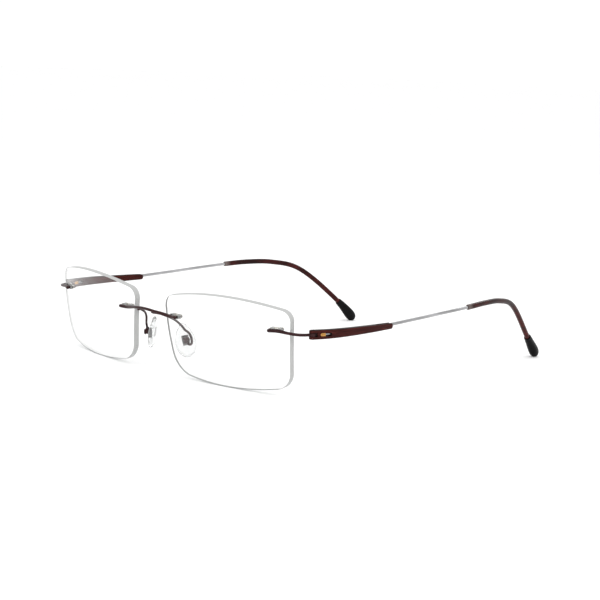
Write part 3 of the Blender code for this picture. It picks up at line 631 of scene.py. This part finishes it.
def mount_frame(u):
    """The frame of a drilled mount: X towards the temple, Z out of the front of the lens."""
    normal = Vector((u / LENS_RADIUS, -1.0, HOLE_V / LENS_RADIUS)).normalized()
    across = Vector((1.0, u / LENS_RADIUS, 0.0)).normalized()
    matrix = Matrix((across, normal.cross(across), normal)).transposed().to_4x4()
    matrix.translation = Vector((u, lens_depth(u, HOLE_V), HOLE_V))
    return LENS_PLACE @ matrix


def hole_frames(u):
    return [mount_frame(u) @ Matrix.Translation((x, 0, 0)) for x in (-HOLE_SPACING / 2, HOLE_SPACING / 2)]


def make_lens():
    """A domed lens with polished faces and a ground edge with a small bevel on each rim."""
    outline = lens_outline()
    count = len(outline)
    inner = []
    for i in range(count):
        along = (outline[(i + 1) % count] - outline[i - 1]).normalized()
        inner.append(outline[i] - Vector((along.y, -along.x)) * LENS_BEVEL)

    def lift(points, back):
        return [LENS_PLACE @ Vector((p.x, back + lens_depth(p.x, p.y), p.y)) for p in points]

    face = [[p * s for p in inner] for s in LENS_RINGS]
    front = [lift(points, 0.0) for points in face + [inner]]
    rim = [lift(outline, LENS_BEVEL), lift(outline, LENS_THICKNESS - LENS_BEVEL)]
    back = [lift(points, LENS_THICKNESS) for points in reversed(face + [inner])]

    holes = [turned_rings(f, [(-LENS_THICKNESS - 1, LENS_HOLE_RADIUS), (1, LENS_HOLE_RADIUS)])
             for u in (BRIDGE_MOUNT_U, TEMPLE_MOUNT_U) for f in hole_frames(u)]
    lens = combined(make_mesh("lens", tubes(front + rim + back)), ("DIFFERENCE", tubes(*holes)))
    forward = LENS_PLACE.to_3x3() @ Vector((0, 1, 0))
    for face in lens.polygons:
        face.material_index = 0 if abs(face.normal.dot(forward)) > 0.85 else 1
    return lens


def make_plug(u):
    """A pair of clear plugs in the lens, joined by a strip behind it."""
    matrix = mount_frame(u)
    half = HOLE_SPACING / 2
    back = -LENS_THICKNESS - PLUG_STRIP_GAP
    strip = []
    for z, width in ((back - PLUG_STRIP, PLUG_STRIP_RADIUS - 0.08),
                     (back - PLUG_STRIP + 0.08, PLUG_STRIP_RADIUS),
                     (back, PLUG_STRIP_RADIUS)):
        level = moved(matrix, z)
        strip.append([level @ Vector((side * half + width * math.cos(a), width * math.sin(a), 0))
                      for side in (-1, 1) for a in half_turn(-side * math.pi / 2, 14)])
    profile = [(-PLUG_LENGTH, PLUG_RADIUS - 0.06), (-PLUG_LENGTH + 0.06, PLUG_RADIUS),
               (PLUG_TOP - 0.05, PLUG_RADIUS), (PLUG_TOP, PLUG_RADIUS - 0.05)]
    holes = hole_frames(u)
    outer = [turned_rings(f, profile) for f in holes]
    bores = [turned_rings(f, [(-PLUG_LENGTH - 1, PLUG_BORE_RADIUS), (1, PLUG_BORE_RADIUS)]) for f in holes]
    return combined(make_mesh("plug", tubes(strip)), ("UNION", tubes(*outer)), ("DIFFERENCE", tubes(*bores)))


def peg_rings(u, mirror=1):
    """The pegs of a mount, each with a small chamfer at its tip."""
    profile = [(-PEG_LENGTH, PEG_RADIUS - 0.08), (-PEG_LENGTH + 0.08, PEG_RADIUS),
               (BAR_STANDOFF, PEG_RADIUS)]
    flip = Matrix.Diagonal((mirror, 1, 1, 1))
    return [[[flip @ p for p in points] for points in turned_rings(f, profile)] for f in hole_frames(u)]


# Front metal ----------------------------------------------------------------------------------


def make_bridge():
    outer = mount_frame(BRIDGE_MOUNT_U)
    half = [Vector(p) for p in BRIDGE_ROUTE]
    half += [outer @ Vector((x, 0, BAR_STANDOFF))
             for x in (-HOLE_SPACING / 2, HOLE_SPACING / 2 + END_OVERRUN)]
    other = [Vector((-p.x, p.y, p.z)) for p in half[1:]]
    line = smooth_route(list(reversed(other)) + half)
    points = [point_at(line, s) for s in steps([0.0, line_length(line)], 0.45)]
    radii = []
    for p in points:
        t = min(max((abs(p.x) - BRIDGE_THIN_TO) / BRIDGE_THIN_LENGTH, 0.0), 1.0)
        t = t * t * (3 - 2 * t)
        radii.append(BRIDGE_MID_RADIUS + (BRIDGE_END_RADIUS - BRIDGE_MID_RADIUS) * t)
    wire = make_mesh("bridge", tubes(wire_rings(frames_along(points, (0, 1, 0)), radii)))
    return combined(wire, *[("UNION", tubes(*peg_rings(BRIDGE_MOUNT_U, side))) for side in (1, -1)])


def make_end_piece():
    mount = mount_frame(TEMPLE_MOUNT_U)
    start = [mount @ Vector((x, 0, BAR_STANDOFF))
             for x in (-HOLE_SPACING / 2 - END_OVERRUN, HOLE_SPACING / 2)]
    last = Vector(END_WIRE_ROUTE[-1])
    stop = HINGE + (last - HINGE).normalized() * (EYELET_RADIUS + EYELET_BORE_RADIUS) / 2
    line = smooth_route(start + END_WIRE_ROUTE + [stop])
    points = [point_at(line, s) for s in steps([0.0, line_length(line)], 0.45)]
    radii = []
    for p in points:
        t = min(max((END_THIN_AT - p.x) / END_THIN_LENGTH, 0.0), 1.0)
        radii.append(END_WIRE_RADIUS + (BRIDGE_END_RADIUS - END_WIRE_RADIUS) * t * t * (3 - 2 * t))
    wire = make_mesh("end", tubes(wire_rings(frames_along(points, (0, 0, 1)), radii, end=False)))
    pin = Matrix.Translation(HINGE)
    half = EYELET_HEIGHT / 2
    eyelet = [(-half, EYELET_RADIUS - 0.1), (-half + 0.1, EYELET_RADIUS), (half - 0.1, EYELET_RADIUS),
              (half, EYELET_RADIUS - 0.1)]
    bore = [(-EYELET_HEIGHT, EYELET_BORE_RADIUS), (EYELET_HEIGHT, EYELET_BORE_RADIUS)]
    return combined(wire, ("UNION", tubes(*peg_rings(TEMPLE_MOUNT_U))),
                    ("UNION", tubes(turned_rings(pin, eyelet))),
                    ("DIFFERENCE", tubes(turned_rings(pin, bore))))


def pad_frame():
    """The frame of a nose pad: X across it, Y down it, Z out of its face towards the nose."""
    down = Vector(PAD_DOWN).normalized()
    facing = Vector(PAD_FACING)
    facing = (facing - down * facing.dot(down)).normalized()
    matrix = Matrix((down.cross(facing), down, facing)).transposed().to_4x4()
    matrix.translation = Vector(PAD_PIVOT)
    return matrix


def make_pad_arm():
    """The bent arm, a little thicker where it is soldered to the bridge."""
    matrix = pad_frame()
    behind = BOX_FRONT - BOX_SIZE[2] - ARM_RADIUS - ARM_GAP
    hook = [matrix @ Vector(p) for p in ARM_HOOK + [(0, 0.2, behind)]]
    line = smooth_route(ARM_ROUTE + hook)
    at = steps([0.0, line_length(line)], 0.3)
    radii = [ARM_RADIUS + 0.07 * math.exp(-((s - 0.5) / 0.7) ** 2) for s in at]
    frames = frames_along([point_at(line, s) for s in at], (0, 1, 0))
    return make_mesh("arm", tubes(wire_rings(frames, radii, FINE)))


def pad_outline(scale, count=56):
    points = []
    for i in range(count):
        angle = 2 * math.pi * i / count
        y = math.sin(angle)
        width = 1.0 + 0.22 * y - 0.1 * y * y
        points.append((math.cos(angle) * width * PAD_WIDTH / 2 * scale, y * PAD_LENGTH / 2 * scale))
    return points


def make_nose_pad():
    """A soft moulded pad: a flat back with a rounded rim and a crowned face."""
    matrix = pad_frame()
    depth = PAD_FRONT - PAD_BACK
    sections = [(0.0, 0.2), (0.0, 0.55), (0.0, 0.74), (0.02, 0.80), (0.07, 0.87), (0.16, 0.935),
                (0.28, 0.98), (0.40, 1.0), (0.52, 0.995), (0.64, 0.97), (0.75, 0.92), (0.85, 0.83),
                (0.93, 0.70), (0.98, 0.52), (1.0, 0.3), (1.0, 0.1)]
    rings = [[matrix @ Vector((x, y, PAD_BACK + depth * t)) for x, y in pad_outline(scale)]
             for t, scale in sections]
    x, y, z = INSERT_SIZE
    gap = 0.04
    pocket = box_rings(matrix, (x + 2 * gap, y + 2 * gap, 2 * (z + gap)), (0, 0, PAD_BACK))
    return combined(make_mesh("pad", tubes(rings)), ("DIFFERENCE", tubes(pocket)))


def make_pad_insert():
    matrix = pad_frame()
    half = STUD_WIDTH / 2
    top = PAD_BACK + INSERT_SIZE[2] / 2
    plate = make_mesh("insert", tubes(box_rings(matrix, INSERT_SIZE, (0, 0, top))))
    outline = [(half * math.cos(a), half * math.sin(a)) for a in half_turn(math.pi, 20)]
    outline += [(half, top), (-half, top)]
    sides = (-STUD_THICKNESS / 2, STUD_THICKNESS / 2)
    stud = [[matrix @ Vector((u, v, w)) for v, w in outline] for u in sides]
    bore = turned_rings(turned(matrix, "Y"), [(-2, STUD_BORE_RADIUS), (2, STUD_BORE_RADIUS)])
    return combined(plate, ("UNION", tubes(stud)), ("DIFFERENCE", tubes(bore)), bevel=0.05)


def make_pad_box():
    matrix = pad_frame()
    x, y, z = BOX_SIZE
    box = make_mesh("box", tubes(box_rings(matrix, BOX_SIZE, (0, 0, BOX_FRONT - z / 2))))
    room = box_rings(matrix, (BOX_ROOM, 2 * y, z), (0, 0, BOX_FRONT - z / 2 + BOX_FLOOR))
    bore = turned_rings(turned(matrix, "Y"), [(-x, BOX_BORE_RADIUS), (x, BOX_BORE_RADIUS)])
    return combined(box, ("DIFFERENCE", tubes(room)), ("DIFFERENCE", tubes(bore)), bevel=0.1)


def make_pad_screw():
    """The cross screw, with a slotted head."""
    matrix = turned(pad_frame(), "Y")
    half, head = BOX_SIZE[0] / 2, PAD_SCREW_HEAD_RADIUS
    profile = [(-half, 0.18), (-half + 0.1, PAD_SCREW_RADIUS), (half + 0.05, PAD_SCREW_RADIUS),
               (half + 0.05, head - 0.05), (half + 0.1, head), (half + 0.22, head),
               (half + 0.32, head * 0.88),
               (half + 0.39, head * 0.6), (half + 0.4, head * 0.3)]
    slot = box_rings(matrix, (0.16, 2, 0.3), (0, 0, half + 0.4))
    return combined(make_mesh("screw", tubes(turned_rings(matrix, profile))), ("DIFFERENCE", tubes(slot)))


# Hinges and temples ---------------------------------------------------------------------------

SLEEVE_LINE = smooth_route(SLEEVE_ROUTE)


def sleeve_frame(distance):
    """The frame of the sleeve at a distance behind the hinge: X outwards, Y up, Z back."""
    a, b = (point_at(SLEEVE_LINE, max(distance, 0.1) + d) for d in (-0.1, 0.1))
    tangent = Vector((b.x - a.x, b.y - a.y, 0)).normalized()
    outward = Vector((tangent.y, -tangent.x, 0))
    matrix = Matrix((outward, Vector((0, 0, 1)), tangent)).transposed().to_4x4()
    matrix.translation = point_at(SLEEVE_LINE, max(distance, 0.0)) + tangent * min(distance, 0.0)
    return matrix


def temple_route():
    """The shared route of wire, tube and tip, as frames at every stop of each of them."""
    line = smooth_route(TEMPLE_ROUTE)
    at = steps([0.0, WIRE_TENON_LENGTH, CHANNEL_AT, SLEEVE_REAR_AT - GROOVE_LENGTH, SLEEVE_REAR_AT,
                SLEEVE_REAR_AT + 4, TUBE_START_AT], 1.6)
    at += steps([TUBE_START_AT, TIP_START_AT, WIRE_END_AT, TUBE_END_AT], 1.0)[1:]
    frames = frames_along([point_at(line, s) for s in at], (-1, 0, 0))
    return line, at, frames


TEMPLE_LINE, TEMPLE_AT, TEMPLE_FRAMES = temple_route()


def stretch(start, end):
    return [f for f, s in zip(TEMPLE_FRAMES, TEMPLE_AT) if start - 1e-6 <= s <= end + 1e-6]


def window_rings(length, radius, half_thickness, stop=None):
    """An oblong through the sleeve, or with stop the front end of one, cut off square."""
    matrix = sleeve_frame(WINDOW_START + WINDOW_LENGTH / 2)
    reach = length / 2 - radius
    outline = [(radius * math.cos(a) - reach, radius * math.sin(a)) for a in half_turn(math.pi / 2, 16)]
    if stop is None:
        outline += [(radius * math.cos(a) + reach, radius * math.sin(a)) for a in half_turn(-math.pi / 2, 16)]
    else:
        outline += [(stop - length / 2, -radius), (stop - length / 2, radius)]
    return [[matrix @ Vector((x, y, z)) for z, y in outline] for x in (-half_thickness, half_thickness)]


def make_sleeve():
    """The bar round the hinge: rounded ends, a window, a slot and a rear groove."""
    length = line_length(SLEEVE_LINE)
    half = SLEEVE_THICKNESS / 2
    shape = (SLEEVE_SIDES, SLEEVE_SQUARENESS)
    rings = []
    for turn in (86, 76, 64, 52, 40, 28, 14):
        out, shrink = math.sin(math.radians(turn)), math.cos(math.radians(turn))
        height = SLEEVE_FRONT_HEIGHT / 2 * (0.76 + 0.24 * shrink ** 0.5)
        rings.append(ring(sleeve_frame(-half * out), half * shrink, height, *shape))
    for distance in steps([0.0, length], 1.0):
        t = distance / length
        height = SLEEVE_FRONT_HEIGHT + (SLEEVE_REAR_HEIGHT - SLEEVE_FRONT_HEIGHT) * t**1.4
        rings.append(ring(sleeve_frame(distance), half * (1 - SLEEVE_TAPER * t), height / 2, *shape))
    for turn in (15, 30, 45, 60, 72, 82):
        out, shrink = math.sin(math.radians(turn)), math.cos(math.radians(turn))
        width = half * (1 - SLEEVE_TAPER) * (0.7 + 0.3 * shrink)
        height = SLEEVE_REAR_HEIGHT / 2 * (0.35 + 0.65 * shrink)
        rings.append(ring(sleeve_frame(length + SLEEVE_REAR_END * out), width, height, *shape))
    depth = 5 + SLOT_DEPTH
    slot = box_rings(sleeve_frame(0.0), (6, SLOT_HEIGHT, depth), (0, 0, SLOT_DEPTH - depth / 2))
    bore = turned_rings(Matrix.Translation(HINGE), [(-PIN_CUT, EAR_BORE_RADIUS),
                                                    (PIN_CUT, EAR_BORE_RADIUS)])
    beyond = SLEEVE_REAR_AT + PAST_SLEEVE
    channel = [ring(f, WIRE_BORE_RADIUS, WIRE_BORE_RADIUS) for f in stretch(CHANNEL_AT, beyond)]
    corners = [(-GROOVE_HALF_WIDTH, 0.0), (GROOVE_HALF_WIDTH, 0.0),
               (GROOVE_HALF_WIDTH, GROOVE_CUT), (-GROOVE_HALF_WIDTH, GROOVE_CUT)]
    groove = [[f @ Vector((x, y, 0)) for x, y in corners]
              for f in stretch(SLEEVE_REAR_AT - GROOVE_LENGTH, beyond)]
    window = window_rings(WINDOW_LENGTH, WINDOW_HEIGHT / 2, WINDOW_CUT)
    cuts = [("DIFFERENCE", tubes(cutter)) for cutter in (slot, bore, window, channel, groove)]
    sleeve = combined(make_mesh("sleeve", tubes(rings)), *cuts, bevel=0.06, angle=50)
    # Faces that point up or down get the second material: painted shade along the sleeve's top and bottom.
    for face in sleeve.polygons:
        face.material_index = 1 if abs(face.normal.z) > 0.72 else 0
    return sleeve


def make_anchor():
    rings = window_rings(WINDOW_LENGTH - 0.1, WINDOW_HEIGHT / 2 - 0.05,
                         SLEEVE_THICKNESS / 2 - 0.08, ANCHOR_LENGTH)
    bore = turned_rings(stretch(0.0, 0.0)[0], [(-0.1, ANCHOR_BORE_RADIUS),
                                               (WIRE_TENON_LENGTH + 3, ANCHOR_BORE_RADIUS)])
    return combined(make_mesh("anchor", tubes(rings)), ("DIFFERENCE", tubes(bore)), bevel=0.06)


def make_hinge_pin():
    """The hinge screw: a plain shank with a slotted, slightly domed end."""
    matrix = Matrix.Translation(HINGE)
    half, r = SLEEVE_FRONT_HEIGHT / 2 - 0.12, HINGE_PIN_RADIUS
    profile = [(-half, r * 0.6), (-half + 0.08, r * 0.9), (-half + 0.16, r), (half - 0.14, r),
               (half - 0.05, r * 0.86),
               (half, r * 0.5)]
    slot = box_rings(matrix, (0.16, 2, 0.5), (0, 0, half))
    return combined(make_mesh("pin", tubes(turned_rings(matrix, profile))), ("DIFFERENCE", tubes(slot)))


def make_temple_wire():
    frames = stretch(0.0, WIRE_END_AT)
    thin = WIRE_TENON_RADIUS
    rings = [ring(frames[0], thin, thin)]
    shoulder = ((0.0, thin), (0.02, WIRE_RADIUS - 0.06), (0.08, WIRE_RADIUS))
    rings += [ring(moved(frames[1], d), r, r) for d, r in shoulder]
    rings += [ring(f, WIRE_RADIUS, WIRE_RADIUS) for f in frames[2:]]
    return make_mesh("wire", tubes(rings))


def make_ear_tube():
    """The sleeve over the bend, with a softened front rim."""
    frames = stretch(TUBE_START_AT, TUBE_END_AT)
    outer = [ring(moved(frames[0], 0.02), TUBE_RADIUS - 0.16, TUBE_RADIUS - 0.16, FINER),
             ring(moved(frames[0], 0.08), TUBE_RADIUS - 0.05, TUBE_RADIUS - 0.05, FINER)]
    outer += [ring(moved(f, 0.22 if i == 0 else 0.0), TUBE_RADIUS, TUBE_RADIUS, FINER)
              for i, f in enumerate(frames)]
    inner = [ring(f, TUBE_BORE_RADIUS, TUBE_BORE_RADIUS, FINER) for f in frames]
    return make_mesh("tube", lambda bm: skin(bm, outer + list(reversed(inner)), loop=True))


def make_ear_tip():
    """The rubber tip: a collar, a swelling body and a small flat foot where it stands."""
    ends = [Vector(s) for s in TIP_SECTIONS]
    shape = smooth_route(ends, 6)
    at = [TIP_START_AT + p.x for p in shape]
    points = [point_at(TEMPLE_LINE, s) for s in at]
    frames = frames_along(points, stretch(TIP_START_AT, TIP_START_AT)[0].col[0].to_3d())
    rings = []
    for f, p in zip(frames, shape):
        lip = 0.10 * math.exp(-((p.x - 0.35) / 0.28) ** 2)
        rings.append(ring(f, p.y + lip, p.z + lip, FINER))
    for grow, out in ((0.7, 0.07), (0.3, 0.11)):
        rings.append(ring(moved(frames[-1], out), shape[-1].y * grow, shape[-1].z * grow, FINER))
    socket = stretch(TIP_START_AT, TUBE_END_AT)
    socket = [moved(socket[0], -1.0)] + socket + [moved(socket[-1], 0.1)]
    bore = [ring(f, TIP_BORE_RADIUS, TIP_BORE_RADIUS, FINER) for f in socket]
    floor = cad_low.z / MM - ORIGIN.z / MM
    ground = box_rings(Matrix.Translation((0, 140, floor - 10)), (200, 100, 20))
    return combined(make_mesh("tip", tubes(rings)),
                    ("DIFFERENCE", tubes(bore)), ("DIFFERENCE", tubes(ground)))


# The pieces -----------------------------------------------------------------------------------


def make_pieces():
    lens, edge = paint_lens(), paint_lens_edge()
    brown, silver, brass, steel = paint_brown_metal(), paint_silver(), paint_brass(), paint_steel()
    plug, silicone = paint_plug(), paint_silicone()
    finish_piece("nose_bridge", make_bridge(), "front", "bridge", [brown])
    front, pad, temple = "front", "{side}_pad", "{side}_temple"
    for base, mesh, body, slot, node, materials in (
        ("clear_lens", make_lens(), front, "clear_lens", "lens", [lens, edge]),
        ("inner_plug", make_plug(BRIDGE_MOUNT_U), front, "clear_plug", "bridge_plug", [plug]),
        ("outer_plug", make_plug(TEMPLE_MOUNT_U), front, "clear_plug", "temple_plug", [plug]),
        ("bent_pad_arm", make_pad_arm(), front, "brown_metal", "pad_arm", [brown]),
        ("open_pad_box", make_pad_box(), front, "brown_metal", "pad_box", [brown]),
        ("slotted_pad_screw", make_pad_screw(), front, "steel", "pad_screw", [steel]),
        ("wire_end_piece", make_end_piece(), front, "brown_metal", "end_piece", [brown]),
        ("soft_nose_pad", make_nose_pad(), pad, "clear_silicone", "nose_pad", [silicone]),
        ("pad_stud_plate", make_pad_insert(), pad, "steel", "pad_insert", [steel]),
        ("hinge_screw", make_hinge_pin(), temple, "steel", "hinge_pin", [steel]),
        ("streaked_sleeve", make_sleeve(), temple, "brown_sleeve", "hinge_sleeve",
         [paint_sleeve(), paint_sleeve_painted_shade()]),
        ("gold_wire_anchor", make_anchor(), temple, "brass", "wire_anchor", [brass]),
        ("long_temple_wire", make_temple_wire(), temple, "silver_wire", "temple_wire", [silver]),
        ("curved_ear_tube", make_ear_tube(), temple, "red_brown_tube", "ear_tube", [paint_tube()]),
        ("rubber_ear_tip", make_ear_tip(), temple, "black_rubber", "ear_tip", [paint_rubber()]),
    ):
        both_sides(base, mesh, body, node, materials)


# Floor, light and camera ----------------------------------------------------------------------


def make_stage():
    mesh = bpy.data.meshes.new("floor")
    half = 6.0
    corners = [(-half, -half, 0), (half, -half, 0), (half, half, 0), (-half, half, 0)]
    mesh.from_pydata(corners, [], [(0, 1, 2, 3)])
    mesh.materials.append(paint_floor())
    floor = bpy.data.objects.new("floor", mesh)
    floor.location.z = cad_low.z
    bpy.context.scene.collection.objects.link(floor)


def make_light(name, place, size, power, target=(0, 0, 0.015)):
    data = bpy.data.lights.new(name, "AREA")
    data.shape = "RECTANGLE"
    data.size, data.size_y = size
    data.energy = power
    light = bpy.data.objects.new(name, data)
    light.location = place
    light.rotation_euler = (Vector(target) - Vector(place)).to_track_quat("-Z", "Y").to_euler()
    bpy.context.scene.collection.objects.link(light)


def make_lights():
    world = bpy.data.worlds.new("studio")
    world.use_nodes = True
    background = world.node_tree.nodes["Background"]
    background.inputs["Color"].default_value = (1.0, 1.0, 1.0, 1)
    background.inputs["Strength"].default_value = 1.04
    bpy.context.scene.world = world
    make_light("overhead", (0.1, -0.1, 0.7), (0.45, 0.45), 0.7)
    make_light("key", (0.6, -0.3, 0.55), (0.14, 0.14), 0.8)
    make_light("back", (-0.2, 0.7, 0.5), (0.14, 0.14), 0.5)
    make_light("fill", (-0.6, -0.2, 0.4), (0.2, 0.2), 0.3)


def make_camera():
    """The camera of the upper view: from the wearer's left, a little above the lenses."""
    azimuth, elevation, roll = math.radians(46.73), math.radians(8.03), math.radians(2.43)
    back = Vector((math.sin(azimuth) * math.cos(elevation), -math.cos(azimuth) * math.cos(elevation),
                   math.sin(elevation)))
    data = bpy.data.cameras.new("camera")
    data.sensor_width = 36.0
    data.lens = 105.0
    data.clip_start, data.clip_end = 0.01, 20.0
    camera = bpy.data.objects.new("camera", data)
    camera.location = Vector((464.27, -368.64, 94.96)) * MM + ORIGIN
    turn = (-back).to_track_quat("-Z", "Y").to_matrix() @ Matrix.Rotation(roll, 3, "Z")
    camera.rotation_euler = turn.to_euler()
    bpy.context.scene.collection.objects.link(camera)
    bpy.context.scene.camera = camera


make_pieces()
make_stage()
make_lights()
make_camera()
bpy.context.scene.view_settings.view_transform = "Standard"
